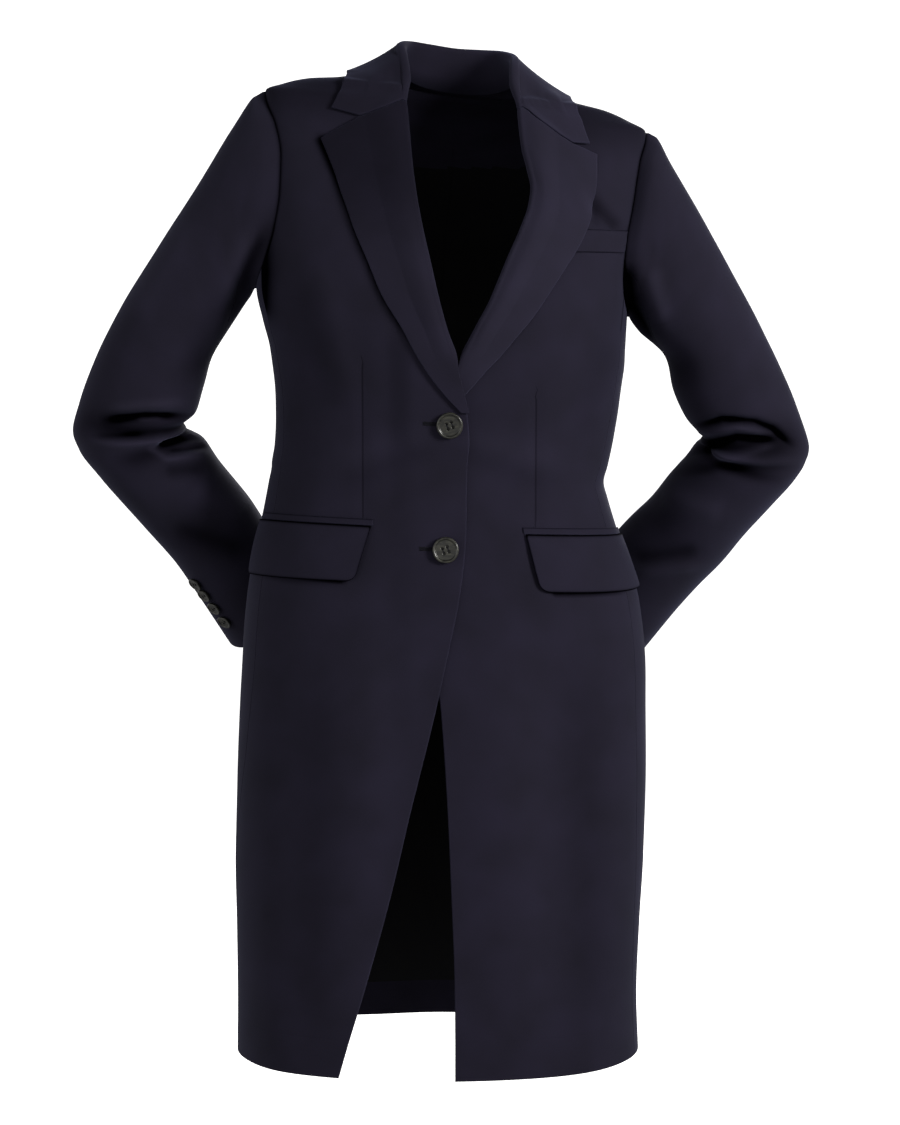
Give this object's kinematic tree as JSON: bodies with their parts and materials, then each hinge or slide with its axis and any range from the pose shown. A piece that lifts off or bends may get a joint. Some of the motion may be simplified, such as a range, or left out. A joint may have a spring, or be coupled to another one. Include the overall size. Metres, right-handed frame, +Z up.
{
  "type": "wool overcoat",
  "caption": "Knee-length single-breasted wool overcoat with notch lapels, a chest welt, flapped hip pockets and long sleeves, shaped as worn with both arms bent back.",
  "frame": {"origin": "base of the neck, midway between the side neck points, where the coat hangs on the wearer's shoulders", "axes": "+Z up, -Y out of the front of the coat, +X towards the wearer's left"},
  "size_m": [0.7277, 0.314, 0.9912],
  "materials": {
    "wool_cloth": "brushed navy wool with a short nap and a soft sheen",
    "horn_button": "dark horn-like resin, polished, with a matt dish"
  },
  "bodies": {
    "root": {"front_right": "wool_cloth", "front_left": "wool_cloth", "side_right": "wool_cloth", "side_left": "wool_cloth", "back_right": "wool_cloth", "back_left": "wool_cloth", "sleeve_right_top": "wool_cloth", "sleeve_right_under": "wool_cloth", "sleeve_left_top": "wool_cloth", "sleeve_left_under": "wool_cloth", "lapel_right": "wool_cloth", "lapel_left": "wool_cloth", "collar": "wool_cloth", "flap_right": "wool_cloth", "flap_left": "wool_cloth", "jet_right": "wool_cloth", "jet_left": "wool_cloth", "chest_welt": "wool_cloth", "button_top": "horn_button", "button_bottom": "horn_button", "cuff_button_right_1": "horn_button", "cuff_button_right_2": "horn_button", "cuff_button_right_3": "horn_button", "cuff_button_right_4": "horn_button", "cuff_button_left_1": "horn_button", "cuff_button_left_2": "horn_button", "cuff_button_left_3": "horn_button", "cuff_button_left_4": "horn_button"}
  },
  "joints": []
}
